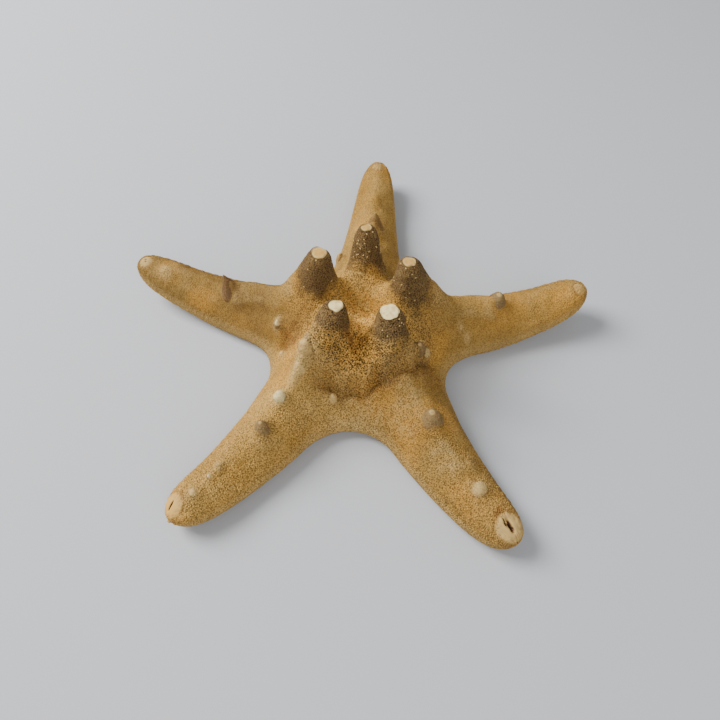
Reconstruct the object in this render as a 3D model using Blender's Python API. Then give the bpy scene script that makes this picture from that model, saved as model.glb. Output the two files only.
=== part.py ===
"""Dried horned sea star, one closed solid in metres, +Z up, resting on its flat underside.

The skin is ten half arms. Each is a grid with two parameters: t runs along the margin from the
notch between two arms to the tip, and w runs from the arm's middle line out to the margin.
A crown with five horns, and the knobs, spikes and ledges, are raised on that skin.
"""
import bmesh
import bpy
import numpy as np

MM = 0.001

# Each arm: direction in degrees, reach, rise of the tip, sideways bow and the two half widths
ARMS = [
    dict(name="back", azimuth=85.1, reach=81.0 * MM, rise=5.0 * MM, bow=0.0, half=(9.0 * MM, 9.2 * MM)),
    dict(name="left", azimuth=159.4, reach=81.8 * MM, rise=6.8 * MM, bow=0.5 * MM, half=(9.0 * MM, 9.4 * MM)),
    dict(name="front_left", azimuth=227.7, reach=78.6 * MM, rise=1.5 * MM, bow=1.5 * MM,
         half=(9.3 * MM, 9.9 * MM)),
    dict(name="front_right", azimuth=302.7, reach=77.0 * MM, rise=1.5 * MM, bow=-1.6 * MM,
         half=(9.9 * MM, 9.5 * MM)),
    dict(name="right", azimuth=372.6, reach=76.6 * MM, rise=7.4 * MM, bow=-0.9 * MM,
         half=(9.4 * MM, 8.8 * MM)),
]
# Distance from the disc's centre to the notch that follows each arm, anticlockwise
NOTCHES = (30.0 * MM, 30.4 * MM, 31.0 * MM, 29.6 * MM, 30.0 * MM)
HALF_WIDTH_AT = 50.0 * MM
TAPER = 0.115
TIP_BLUNTNESS = 18

# Heights over the rest plane
MARGIN_HEIGHT = 3.6 * MM
DISC_HEIGHT = 15.5 * MM
TIP_HEIGHT = 9.5 * MM
RISE_FROM = 0.5

# The crown that carries the horns, slightly hollow in the middle
CROWN_RADIUS = 16.5 * MM
CROWN_HEIGHT = 10.5 * MM
CROWN_HOLLOW = 3.2 * MM
CROWN_HOLLOW_RADIUS = 7.0 * MM

# Horns: foot centre, tip, radius at half height, and how far the outer skirt reaches
HORNS = [
    dict(foot=(1.5, 15.3), tip=(1.3, 16.6, 40.8), radius=4.3, skirt=5.0),
    dict(foot=(-13.8, 5.6), tip=(-11.6, 5.8, 42.0), radius=4.8, skirt=8.5),
    dict(foot=(-9.4, -11.0), tip=(-6.9, -9.4, 38.2), radius=4.5, skirt=6.0),
    dict(foot=(8.4, -13.2), tip=(7.3, -11.9, 39.0), radius=4.6, skirt=5.5),
    dict(foot=(14.6, 3.2), tip=(13.4, 3.6, 40.8), radius=4.6, skirt=8.5),
]
HORN_STEEPNESS = 3.7
SKIRT_OUT = 5.0 * MM
SKIRT_RADIUS = 6.0 * MM

# Knobs, spikes and low bumps: x, y, height, radius, steepness, in millimetres
KNOBS = [
    (-23.3, -25.9, 3.4, 1.9, 4.0),
    (-27.9, -35.0, 4.0, 2.6, 3.2),
    (-39.4, -45.2, 1.3, 2.0, 3.0),
    (-41.8, -48.0, 1.2, 1.8, 3.0),
    (-46.0, -52.0, 1.8, 2.5, 3.0),
    (20.2, -32.9, 4.6, 3.1, 3.2),
    (32.0, -51.5, 1.6, 2.6, 3.0),
    (-43.8, 15.3, 6.2, 2.1, 2.6),
    (-65.0, 22.0, 1.5, 2.4, 3.0),
    (-26.3, 2.2, 2.4, 1.5, 3.5),
    (-25.3, -6.0, 1.6, 1.5, 3.5),
    (42.9, 8.0, 4.2, 2.5, 3.5),
    (60.0, 12.0, 0.8, 2.6, 3.0),
    (4.7, 41.6, 6.5, 2.1, 2.6),
    (4.7, 57.5, 2.2, 3.0, 3.0),
    (-7.3, 32.2, 4.2, 1.7, 3.0),
    (19.6, -9.0, 2.6, 1.7, 3.5),
    (17.6, -10.6, 2.0, 1.8, 3.5),
    (9.4, -17.7, 1.8, 2.2, 3.0),
    (-8.6, -24.4, 2.4, 1.6, 3.5),
    (-17.2, -11.9, 2.0, 2.2, 3.0),
    (-17.5, -15.6, 1.8, 2.0, 3.0),
    (-19.5, -19.5, 1.4, 2.0, 3.0),
]

# The ledge under the crown's front face: sector it spans, mean radius and size of the step
LEDGE_FROM = 205.0
LEDGE_TO = 345.0
LEDGE_RADIUS = 21.5 * MM
LEDGE_WAVE = 1.8 * MM
LEDGE_LIP = 1.5 * MM
LEDGE_UNDERCUT = 1.3 * MM
LEDGE_WIDTH = 1.5 * MM

# Slits at the two front tips: arm number, distance along the arm, length, width and depth
TIP_SLITS = [
    (2, 74.5 * MM, 4.2 * MM, 0.9 * MM, 1.2 * MM),
    (3, 72.0 * MM, 4.4 * MM, 1.3 * MM, 2.2 * MM),
]

# Underside: the groove under each arm and the mouth where the five meet
GROOVE_HALF_WIDTH = 2.3 * MM
GROOVE_DEPTH = 3.6 * MM
MOUTH_RADIUS = 4.6 * MM
MOUTH_DEPTH = 6.0 * MM
REST_CUT = 0.3 * MM

# Where the disc's centre lies, so that the whole star's box is centred on the origin
DISC_CENTRE = (0.955 * MM, -7.504 * MM)

ROWS = 64
COLUMNS_ABOVE = 26
COLUMNS_BELOW = 20
TRIANGLES = 9000


def clear_scene():
    """Remove what the new file starts with."""
    for item in list(bpy.data.objects):
        bpy.data.objects.remove(item, do_unlink=True)


def collection(name):
    """A new collection linked to the scene."""
    group = bpy.data.collections.new(name)
    bpy.context.scene.collection.children.link(group)
    return group


def ease(x):
    """Smooth step from 0 to 1."""
    x = np.clip(x, 0.0, 1.0)
    return x * x * (3.0 - 2.0 * x)


def bell(distance, radius, steepness):
    """Hill of height 1: 1 / (1 + (distance / radius) ** steepness)."""
    return 1.0 / (1.0 + (distance / radius) ** steepness)


def half_angle(index, side):
    """Half the angle between an arm and its neighbour on that side."""
    step = 1 if side == 1 else -1
    turn = (ARMS[(index + step) % 5]["azimuth"] - ARMS[index]["azimuth"]) * step
    return np.radians(turn % 360.0) / 2.0


def margin(index, side, t):
    """Distance along the arm and half width of the margin at t, even in length along the margin.

    The half width is a straight taper plus a flare that meets the neighbour squarely at the
    notch, times the square root of 1 - (a / reach) ** bluntness, which rounds the tip off.
    """
    arm = ARMS[index]
    angle = half_angle(index, side)
    notch = NOTCHES[index if side == 1 else (index - 1) % 5]
    start = notch * np.cos(angle)
    reach = arm["reach"]
    body = np.linspace(start, 0.97 * reach, 1200)
    end = np.linspace(0.97 * reach, reach, 1200)
    a = np.concatenate([body, end[1:]])
    taper = arm["half"][side] + TAPER * (HALF_WIDTH_AT - a)
    flare = max(notch * np.sin(angle) - taper[0], 1.2 * MM)
    run = flare / (1.0 / np.tan(angle) - TAPER)
    width = (taper + flare * np.exp((start - a) / run)) * np.sqrt(1.0 - (a / reach) ** TIP_BLUNTNESS)
    width[0] = notch * np.sin(angle)
    width[-1] = 0.0
    length = np.concatenate([[0.0], np.cumsum(np.hypot(np.diff(a), np.diff(width)))])
    return np.interp(t * length[-1], length, a), np.interp(t * length[-1], length, width)


def half_arm(index, side, t, w, below):
    """Points of one half arm's upper or lower skin, before the crown and the knobs.

    A row runs straight from the arm's middle line (w = 0) to the margin (w = 1). Its foot on the
    middle line is the two margins' mean distance times 1 - (1 - t) ** 4 * (1 + 4 t), so that rows
    start at the disc's centre and leave the notch line squarely. Above, the height falls from the crest to
    the margin as (1 - w ** p) ** q. Below, it is flat with a rounded edge and a groove.
    """
    arm = ARMS[index]
    out, width = margin(index, side, t)
    middle = (out + margin(index, 1 - side, t)[0]) / 2.0
    foot = middle * (1.0 - (1.0 - t) ** 4 * (1.0 + 4.0 * t))
    a = foot + w * (out - foot)
    b = w * width
    x = np.clip(foot / arm["reach"], 0.0, 1.0)
    end = np.sqrt(1.0 - x ** 26)
    if below:
        edge = MARGIN_HEIGHT + REST_CUT
        z = MARGIN_HEIGHT - edge * end * (1.0 - w ** 6) ** 0.35
        narrow = GROOVE_HALF_WIDTH * (1.0 - 0.45 * x)
        fade = ease((1.0 - x) / 0.08)
        z = z + GROOVE_DEPTH * fade * (1.0 - 0.45 * x) * np.exp(-(b / narrow) ** 4)
        z = z + MOUTH_DEPTH * bell(np.hypot(a, b), MOUTH_RADIUS, 6.0)
    else:
        crest = DISC_HEIGHT + (TIP_HEIGHT - DISC_HEIGHT) * ease((x - 0.25) / 0.75)
        roundness = ease((x - 0.7) / 0.3)
        fall = (1.0 - w ** (1.6 + 0.4 * roundness)) ** (0.7 - 0.2 * roundness)
        z = MARGIN_HEIGHT + (crest - MARGIN_HEIGHT) * end * fall
    along = a / arm["reach"]
    z = z + arm["rise"] * ease((along - RISE_FROM) / (1.05 - RISE_FROM)) ** 1.3
    start = NOTCHES[index] / arm["reach"]
    u = np.clip((along - start) / (1.0 - start), 0.0, 1.0)
    b = (b if side == 1 else -b) + arm["bow"] * 4.0 * u * (1.0 - u) * ease(u / 0.25)
    turn = np.radians(arm["azimuth"])
    return np.stack([a * np.cos(turn) - b * np.sin(turn), a * np.sin(turn) + b * np.cos(turn), z], axis=-1)


def raise_crown(points):
    """Lift the upper skin into the crown and step it at the ledge under the crown's front."""
    x, y, z = points.T
    r = np.hypot(x, y)
    z = z + CROWN_HEIGHT * bell(r, CROWN_RADIUS, 6.0)
    z = z - CROWN_HOLLOW * np.exp(-(r / CROWN_HOLLOW_RADIUS) ** 2)
    angle = np.degrees(np.arctan2(y, x)) % 360.0
    sector = ease((angle - LEDGE_FROM) / 20.0) * ease((LEDGE_TO - angle) / 15.0)
    line = LEDGE_RADIUS - LEDGE_WAVE * np.cos(np.radians(3.0 * (angle - 297.0)))
    beyond = (r - line) / LEDGE_WIDTH
    lip = LEDGE_LIP * np.exp(-(beyond + 0.7) ** 2)
    undercut = LEDGE_UNDERCUT * np.exp(-(beyond - 0.9) ** 2)
    return np.stack([x, y, z + sector * (lip - undercut)], axis=-1)


def raise_horns(points):
    """Push the skin along each horn's axis by a steep bell, over a low skirt on its outer side."""
    for horn in HORNS:
        foot = np.array(horn["foot"]) * MM
        outward = foot / np.hypot(*foot)
        skirt = foot + outward * SKIRT_OUT
        reach = np.hypot(points[:, 0] - skirt[0], points[:, 1] - skirt[1])
        points[:, 2] += horn["skirt"] * MM * bell(reach, SKIRT_RADIUS, 3.0)
    lifted = points.copy()
    for horn in HORNS:
        foot = np.array(horn["foot"]) * MM
        distance = np.hypot(points[:, 0] - foot[0], points[:, 1] - foot[1])
        height = points[np.argmin(distance), 2]
        axis = np.array(horn["tip"]) * MM - np.array([foot[0], foot[1], height])
        lifted += bell(distance, horn["radius"] * MM, HORN_STEEPNESS)[:, None] * axis
    return lifted


def raise_knobs(points):
    """Add the knobs, spikes and bumps, and sink the slits at the front tips."""
    lift = np.zeros(len(points))
    for x, y, height, radius, steepness in KNOBS:
        distance = np.hypot(points[:, 0] - x * MM, points[:, 1] - y * MM)
        lift += height * MM * bell(distance, radius * MM, steepness)
    for index, along, length, width, depth in TIP_SLITS:
        turn = np.radians(ARMS[index]["azimuth"])
        a = points[:, 0] * np.cos(turn) + points[:, 1] * np.sin(turn)
        b = points[:, 1] * np.cos(turn) - points[:, 0] * np.sin(turn)
        lift -= depth * np.exp(-((a - along) / length) ** 4 - (b / width) ** 2)
    points[:, 2] += lift
    return points


def relief(points, w):
    """Crown, horns and knobs on the whole upper skin, fading out at the margin."""
    raised = raise_knobs(raise_horns(raise_crown(points)))
    return points + (raised - points) * (1.0 - w ** 8)[:, None]


def sheet_grid(columns):
    """A square grid mesh and the t and w that its own x and y stand for."""
    sheet = bmesh.new()
    bmesh.ops.create_grid(sheet, x_segments=ROWS, y_segments=columns, size=1.0)
    grid = np.array([vertex.co for vertex in sheet.verts])
    t = (grid[:, 0] + 1.0) / 2.0
    w = np.sin((grid[:, 1] + 1.0) * np.pi / 4.0)
    return sheet, t, w


def add_sheets(skin, below):
    """Add the ten half arms' upper or lower sheets to the skin."""
    sheet, t, w = sheet_grid(COLUMNS_BELOW if below else COLUMNS_ABOVE)
    halves = [half_arm(index, side, t, w, below) for index in range(len(ARMS)) for side in (0, 1)]
    points = np.concatenate(halves)
    if not below:
        points = relief(points, np.tile(w, len(halves)))
    mesh = bpy.data.meshes.new("sheet")
    sheet.to_mesh(mesh)
    sheet.free()
    for half in np.split(points, len(halves)):
        mesh.vertices.foreach_set("co", half.ravel())
        skin.from_mesh(mesh)
    bpy.data.meshes.remove(mesh)


def skin_mesh():
    """Weld the twenty sheets into one closed skin with its faces pointing out."""
    skin = bmesh.new()
    add_sheets(skin, below=False)
    add_sheets(skin, below=True)
    bmesh.ops.remove_doubles(skin, verts=skin.verts, dist=0.01 * MM)
    bmesh.ops.dissolve_degenerate(skin, edges=skin.edges, dist=0.005 * MM)
    bmesh.ops.triangulate(skin, faces=skin.faces)
    bmesh.ops.translate(skin, verts=skin.verts, vec=(DISC_CENTRE[0], DISC_CENTRE[1], 0.0))
    bmesh.ops.recalc_face_normals(skin, faces=skin.faces)
    mesh = bpy.data.meshes.new("starfish")
    skin.to_mesh(mesh)
    skin.free()
    return mesh


def dried_skin_material():
    """Golden tan, dry and rough."""
    material = bpy.data.materials.new("dried_skin")
    material.use_nodes = True
    shader = material.node_tree.nodes["Principled BSDF"]
    shader.inputs["Base Color"].default_value = (0.56, 0.31, 0.11, 1.0)
    shader.inputs["Roughness"].default_value = 0.85
    shader.inputs["Metallic"].default_value = 0.0
    return material


def rest_cutter(group):
    """A slab whose top is the rest plane, which planes the underside flat."""
    bpy.ops.mesh.primitive_cube_add(size=1.0)
    slab = bpy.context.object
    slab.name = "rest_cutter"
    slab.scale = (0.25, 0.25, 0.01)
    slab.location = (0.0, 0.0, -0.005)
    slab.hide_render = True
    slab.display_type = "WIRE"
    for owner in list(slab.users_collection):
        owner.objects.unlink(slab)
    group.objects.link(slab)
    return slab


def build():
    """The star in its own collection, thinned to its triangle budget and planed flat."""
    clear_scene()
    parts = collection("starfish")
    cutters = collection("cutters")
    mesh = skin_mesh()
    mesh.materials.append(dried_skin_material())
    star = bpy.data.objects.new("starfish", mesh)
    parts.objects.link(star)
    thin = star.modifiers.new("thin", "DECIMATE")
    thin.ratio = TRIANGLES / len(mesh.polygons)
    plane = star.modifiers.new("plane_flat", "BOOLEAN")
    plane.operation = "DIFFERENCE"
    plane.object = rest_cutter(cutters)
    mesh.shade_smooth()


build()
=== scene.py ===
import bmesh
import bpy
import numpy as np
from mathutils.kdtree import KDTree
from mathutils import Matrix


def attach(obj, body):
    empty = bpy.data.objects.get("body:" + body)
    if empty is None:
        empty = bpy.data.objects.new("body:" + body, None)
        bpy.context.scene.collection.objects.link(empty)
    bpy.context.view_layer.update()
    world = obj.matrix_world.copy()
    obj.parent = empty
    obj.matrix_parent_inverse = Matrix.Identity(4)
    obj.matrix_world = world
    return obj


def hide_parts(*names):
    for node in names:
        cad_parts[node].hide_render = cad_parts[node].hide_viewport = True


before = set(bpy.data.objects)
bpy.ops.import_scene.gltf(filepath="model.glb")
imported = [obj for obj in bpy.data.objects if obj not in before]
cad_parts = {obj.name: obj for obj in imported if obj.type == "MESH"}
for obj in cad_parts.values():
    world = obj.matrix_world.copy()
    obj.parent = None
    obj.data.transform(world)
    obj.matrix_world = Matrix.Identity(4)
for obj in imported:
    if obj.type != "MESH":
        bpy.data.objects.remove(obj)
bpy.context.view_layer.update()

MM = 0.001

# Each arm: how much its skin is lightened or darkened, partly its own tone and partly painted
# light and shade, direction in degrees, reach, rise of the tip, sideways bow and the two half
# widths
ARMS = [
    dict(name="back", shade=0.84, azimuth=85.1, reach=81.0 * MM, rise=5.0 * MM, bow=0.0,
         half=(9.0 * MM, 9.2 * MM)),
    dict(name="left", shade=0.55, azimuth=159.4, reach=81.8 * MM, rise=6.8 * MM, bow=0.5 * MM,
         half=(9.0 * MM, 9.4 * MM)),
    dict(name="front_left", shade=1.06, azimuth=227.7, reach=78.6 * MM, rise=1.5 * MM, bow=1.5 * MM,
         half=(9.3 * MM, 9.9 * MM)),
    dict(name="front_right", shade=0.7, azimuth=302.7, reach=77.0 * MM, rise=1.5 * MM, bow=-1.6 * MM,
         half=(9.9 * MM, 9.5 * MM)),
    dict(name="right", shade=0.73, azimuth=372.6, reach=76.6 * MM, rise=7.4 * MM, bow=-0.9 * MM,
         half=(9.4 * MM, 8.8 * MM)),
]
# Distance from the disc's centre to the notch that follows each arm, anticlockwise
NOTCHES = (30.0 * MM, 30.4 * MM, 31.0 * MM, 29.6 * MM, 30.0 * MM)
HALF_WIDTH_AT = 50.0 * MM
TAPER = 0.115
TIP_BLUNTNESS = 18
LEAST_FLARE = 1.2 * MM
# The margin is measured in this many steps up to a share of the reach, and as many beyond it
MARGIN_STEPS = 1200
FINE_FROM = 0.97

# Heights over the rest plane
MARGIN_HEIGHT = 3.6 * MM
DISC_HEIGHT = 15.5 * MM
TIP_HEIGHT = 9.5 * MM
RISE_FROM = 0.5
RISE_TO = 1.05

# The crown that carries the horns, slightly hollow in the middle
CROWN_RADIUS = 16.5 * MM
CROWN_HEIGHT = 10.5 * MM
CROWN_HOLLOW = 3.2 * MM
CROWN_HOLLOW_RADIUS = 7.0 * MM

# Horns, in millimetres: foot centre, tip, radius at half height and height of the outer skirt. Then
# the shares of the horn's height from about which the dark collar and the pale cap begin, the share
# of the collar's granules that are pale specks, the slope of the broken top and the top's colour
HORNS = [
    dict(foot=(1.5, 15.3), tip=(1.3, 16.6, 40.8), radius=4.3, skirt=5.0,
         cap=0.984, collar=0.24, specks=0.06, tilt=(0.0, -0.25), tone="cream"),
    dict(foot=(-13.8, 5.6), tip=(-11.6, 5.8, 42.0), radius=4.8, skirt=8.5,
         cap=0.967, collar=0.33, specks=0.01, tilt=(0.05, -0.10), tone="cream"),
    dict(foot=(-9.4, -11.0), tip=(-6.9, -9.4, 38.2), radius=4.5, skirt=6.0,
         cap=0.968, collar=0.38, specks=0.01, tilt=(0.05, -0.22), tone="white"),
    dict(foot=(8.4, -13.2), tip=(7.3, -11.9, 39.0), radius=4.6, skirt=5.5,
         cap=0.925, collar=0.32, specks=0.04, tilt=(0.08, 0.08), tone="white"),
    dict(foot=(14.6, 3.2), tip=(13.4, 3.6, 40.8), radius=4.6, skirt=8.5,
         cap=0.984, collar=0.28, specks=0.02, tilt=(-0.05, -0.15), tone="cream"),
]
HORN_STEEPNESS = 3.7
HORN_FOOT = 0.13
CAP_RATE = 0.3
SKIRT_OUT = 5.0 * MM
SKIRT_RADIUS = 6.0 * MM

# Swellings that carry the horns' slopes out to the ledge, and gullies between them, in
# millimetres: x, y, height and radius
BUTTRESSES = [
    (-12.6, -15.0, 4.6, 5.6),
    (-5.5, -18.0, 2.6, 4.2),
    (4.0, -17.5, 2.2, 4.0),
    (11.5, -15.5, 4.0, 5.0),
    (-19.0, 6.5, 2.4, 5.5),
    (20.5, 4.5, 2.4, 5.5),
    (2.5, 22.0, 1.6, 5.0),
    (-22.6, -3.4, -2.4, 3.0),
    (-25.2, -5.0, -1.4, 2.4),
    (21.0, -15.6, -2.0, 2.8),
    (22.6, -20.4, -1.6, 2.8),
    (-2.0, -12.5, -1.6, 3.0),
    (-1.0, -16.5, 2.0, 5.0),
    (9.0, -18.9, 1.6, 2.6),
    (-17.0, -20.5, 1.8, 3.4),
]


def bump(x, y, height, radius, steep, finish, crisp=0.0, p=2.0, q=0.5, lean=(0.0, 0.0)):
    """One entry of KNOBS. With no crisp radius it is only a swelling of the skin."""
    return dict(at=(x, y), height=height, radius=radius, steep=steep, finish=finish, crisp=crisp,
                p=p, q=q, lean=lean)


# Knobs, spikes and low bumps, in millimetres: x, y, height, radius, steepness and finish. Those
# with a crisp radius carry a knob of their own on the swelling, with a profile of
# (1 - height ** p) ** q and a sideways lean.
KNOBS = [
    bump(-23.3, -25.9, 3.4, 2.3, 4.0, "white", crisp=2.2, p=2.4),
    bump(-27.9, -35.0, 4.0, 2.6, 3.2, "grey", crisp=2.7, p=1.6, q=0.6, lean=(-0.4, 0.8)),
    bump(-39.4, -45.2, 1.3, 1.3, 3.0, "pale"),
    bump(-41.8, -48.0, 1.2, 1.0, 3.0, "white", crisp=0.8, p=2.2),
    bump(-45.4, -52.4, 1.8, 2.0, 3.0, "pale", crisp=1.5, p=2.2),
    bump(20.2, -32.9, 4.6, 3.1, 3.2, "grey", crisp=3.3, q=0.52, lean=(-0.6, 1.2)),
    bump(31.8, -51.5, 2.2, 2.5, 3.4, "dust", crisp=2.5, p=2.2),
    bump(-42.4, 14.0, 7.6, 2.1, 2.6, "spike", crisp=3.6, p=1.1, q=0.9, lean=(-1.5, 1.2)),
    bump(-65.0, 22.0, 1.5, 2.4, 3.0, "pale"),
    bump(-26.3, 1.4, 2.6, 1.4, 3.5, "white", crisp=1.2, p=1.8, q=0.55),
    bump(-25.0, -6.2, 1.6, 1.5, 3.5, "pale", crisp=1.3),
    bump(43.4, 9.2, 4.6, 2.5, 3.5, "grey", crisp=2.9, p=2.4, lean=(0.4, 0.4)),
    bump(60.0, 12.0, 0.8, 2.6, 3.0, "plain"),
    bump(4.7, 41.6, 7.0, 2.4, 2.6, "brown", crisp=3.4, p=1.2, q=0.8, lean=(0.3, 1.0)),
    bump(4.7, 57.5, 2.2, 2.6, 3.0, "plain"),
    bump(-7.3, 32.2, 4.2, 1.7, 3.0, "pale", crisp=1.6, p=1.8, q=0.55),
    bump(19.6, -9.0, 3.2, 1.9, 3.5, "dust", crisp=1.7),
    bump(17.2, -11.0, 2.8, 2.0, 3.5, "grey", crisp=2.0),
    bump(-8.4, -24.2, 2.4, 1.6, 3.5, "pale", crisp=1.4),
    bump(-16.8, -12.2, 2.0, 2.6, 3.0, "dust"),
    bump(-15.4, -16.4, 3.4, 2.0, 3.4, "pale", crisp=2.2),
    bump(-17.4, -19.6, 3.0, 1.8, 3.4, "pale", crisp=2.0),
    bump(-19.2, -21.6, 1.4, 1.6, 3.0, "pale"),
    bump(31.3, 0.6, 1.3, 1.2, 3.0, "pale", crisp=0.8),
    bump(33.8, -1.3, 0.9, 1.1, 3.0, "pale"),
]

# Terraces on the left and right arms between horn and knob: arm number, start, end, height, how
# far from the middle line the sharp front edge and the soft back edge lie, and the front's side
CRESTS = [
    (1, 20.0 * MM, 45.0 * MM, 2.2 * MM, 5.2 * MM, 4.5 * MM, 1.0),
    (4, 20.0 * MM, 45.0 * MM, 2.0 * MM, 5.4 * MM, 4.5 * MM, -1.0),
]

# Patches of colour on the skin, a few of them painted shade, in millimetres: x, y, radius, colour
# name and strength
PATCHES = [
    (1.2, -16.0, 5.0, "orange", 0.65),
    (1.4, -5.0, 8.5, "orange", 0.9),
    (-3.0, -12.6, 3.0, "rust", 0.55),
    (8.0, -18.6, 3.6, "grey", 0.55),
    (-15.4, -17.0, 4.2, "dust", 0.60),
    (-13.0, -12.6, 2.6, "grey", 0.45),
    (-6.4, -17.4, 2.4, "grey", 0.30),
    # Painted shade in the gully between the front right arm and the right arm
    (21.1, -18.4, 4.4, "rust", 0.50),
    (-22.4, -3.4, 3.2, "rust", 0.55),
    (15.9, -25.3, 2.8, "dust", 0.55),
    (12.8, -24.6, 2.6, "dust", 0.50),
    (23.2, -42.1, 3.4, "dust", 0.55),
    (26.5, -44.6, 2.6, "dust", 0.45),
    (-60.5, 24.0, 2.0, "dust", 0.35),
    (24.0, 3.0, 5.0, "umber", 0.25),
    (20.0, -4.0, 4.0, "umber", 0.30),
    # The next two: painted shadow in the furrow under the left arm's terrace
    (-33.0, 7.6, 4.5, "umber", 0.45),
    (-39.5, 10.6, 3.0, "umber", 0.45),
    (-18.5, -1.5, 4.0, "umber", 0.30),
    (36.9, -57.4, 1.5, "rust", 0.60),
    (-48.3, -52.6, 1.6, "rust", 0.60),
    (23.4, -54.0, 0.5, "dark", 0.50),
    (65.9, 13.1, 3.5, "orange", 0.45),
    (-1.0, -30.5, 8.0, "pale", 0.50),
    (-14.0, -29.0, 6.0, "pale", 0.30),
    (13.0, -30.5, 5.0, "pale", 0.25),
]

# Worn tips of the arms, in millimetres: x, y, radius, colour name, strength and number of creases
TIP_CAPS = [
    (39.5, -61.2, 4.0, "cream", 0.75, 19),
    (-51.4, -55.2, 3.4, "dust", 0.22, 15),
    (-73.0, 26.7, 2.4, "dust", 0.45, 9),
    (71.3, 14.6, 2.0, "dust", 0.30, 7),
    (6.6, 75.6, 2.2, "dust", 0.30, 7),
]

# Slits in the tips of the front arms and the left arm, in millimetres: x, y, direction in degrees,
# half length, half width and depth
SLITS = [
    (39.4, -60.9, -66.0, 1.8, 0.52, 1.5),
    (39.8, -61.2, -40.0, 0.8, 0.30, 0.6),
    (-73.0, 26.9, 100.0, 1.0, 0.16, 0.5),
    (-72.1, 26.2, 60.0, 0.8, 0.14, 0.4),
    (38.0, -60.0, -74.0, 1.2, 0.24, 0.7),
    (-51.6, -55.3, -119.0, 1.3, 0.24, 0.8),
]

# The ledge under the crown's front face: the sector that it spans and how it fades in at both
# ends, in degrees, its radius, its bulges (direction, spread and size) and the size of the step
LEDGE_FROM = 226.0
LEDGE_TO = 345.0
LEDGE_FADES = (20.0, 15.0)
LEDGE_RADIUS = 21.4 * MM
LEDGE_BULGES = ((240.0, 13.0, 2.6 * MM), (301.0, 12.0, 1.8 * MM))
LEDGE_LIP = 2.5 * MM
LEDGE_UNDERCUT = 1.9 * MM
LEDGE_WIDTH = 1.0 * MM
LEDGE_WOBBLE = 1.1 * MM

# Underside: the groove under each arm and the mouth where the five meet
GROOVE_HALF_WIDTH = 2.3 * MM
GROOVE_DEPTH = 3.6 * MM
MOUTH_RADIUS = 4.6 * MM
MOUTH_DEPTH = 6.0 * MM
SOLE_HEIGHT = 0.26 * MM

# Low lumps of the skin as size, height and seed, and the scallops along the margin
LUMPS = ((5.0 * MM, 0.45 * MM, 41), (2.2 * MM, 0.24 * MM, 42))
SCALLOP_PITCH = 2.3 * MM
SCALLOP_DEPTH = 0.20 * MM
SCALLOP_BAND = 2.8 * MM
SCALLOP_FADE = 1.2 * MM

# Where the disc's centre lies, so that the whole star's box is centred on the origin
DISC_CENTRE = np.array([0.955 * MM, -7.504 * MM, 0.0])

# Pores of the skin: how many to a metre, and their colour, near black as painted shade in pits
# that the mesh does not cut
PORES = 1850.0
PORE_TONE = (0.024, 0.011, 0.004, 1.0)

# Granules: places drawn on each piece, and in millimetres the spacing on the skin, on collars and
# below, and the height above, below and on collars
DRAWN_ON_HORNS = 90000
DRAWN_ON_KNOBS = 30000
DRAWN_ON_SKIN = 420000
SPACING = 0.43
SPACING_COLLAR = 0.42
SPACING_BELOW = 1.0
GRANULE_ABOVE = 0.14
GRANULE_BELOW = 0.24
GRANULE_COLLAR = 0.07

# Grid of one half arm's sheet, of a horn and of a knob
ROWS = 142
COLUMNS_ABOVE = 55
COLUMNS_BELOW = 14
HORN_RINGS = 58
HORN_SIDES = 52
KNOB_RINGS = 14
KNOB_SIDES = 26

# The photograph's camera, seen from the disc's centre
CAMERA_AT = (-0.4 * MM, -100.0 * MM, 159.5 * MM)
CAMERA_DOWN = 58.86
LENS = 28.0
SENSOR = 36.0

# Area lights as name, place, size and power, the light from all around, and the floor's colour
LIGHTS = (("key", (-0.54, 0.22, 0.56), 0.40, 12.5), ("fill", (0.15, -0.6, 0.5), 0.8, 3.6))
WORLD_TONE = (0.95, 0.97, 1.0, 1.0)
WORLD_STRENGTH = 0.44
FLOOR_TONE = (0.455, 0.465, 0.48, 1.0)


def ease(x):
    """Smooth step: 3x^2 - 2x^3 between 0 and 1."""
    x = np.clip(x, 0.0, 1.0)
    return x * x * (3.0 - 2.0 * x)


def bell(distance, radius, steepness):
    """Hill of height 1: 1 / (1 + (distance / radius) ** steepness)."""
    return 1.0 / (1.0 + (distance / radius) ** steepness)


def noise(points, size, seed):
    """Smooth random field in -1..1 with lumps of the given size.

    Each corner of a cubic lattice has a random value from its whole-number place, and a point's
    value blends its cell's eight corners by eased distances.
    """
    place = points / size + seed * 7.31
    cell = np.floor(place).astype(np.int64)
    share = ease(place - cell)
    total = np.zeros(len(points))
    for corner in np.ndindex(2, 2, 2):
        key = (cell + np.array(corner)) * np.array([73856093, 19349663, 83492791])
        mixed = key[:, 0] ^ key[:, 1] ^ key[:, 2] ^ (seed * 2654435761)
        mixed = (mixed ^ (mixed >> 13)) * 1274126177
        value = ((mixed >> 8) & 0xFFFF) / 32767.5 - 1.0
        weight = np.where(corner, share, 1.0 - share).prod(axis=1)
        total += weight * value
    return total


def linear(red, green, blue):
    """A colour given in display values 0 to 255, as linear light."""
    value = np.array([red, green, blue]) / 255.0
    return np.where(value <= 0.04045, value / 12.92, ((value + 0.055) / 1.055) ** 2.4)


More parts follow.
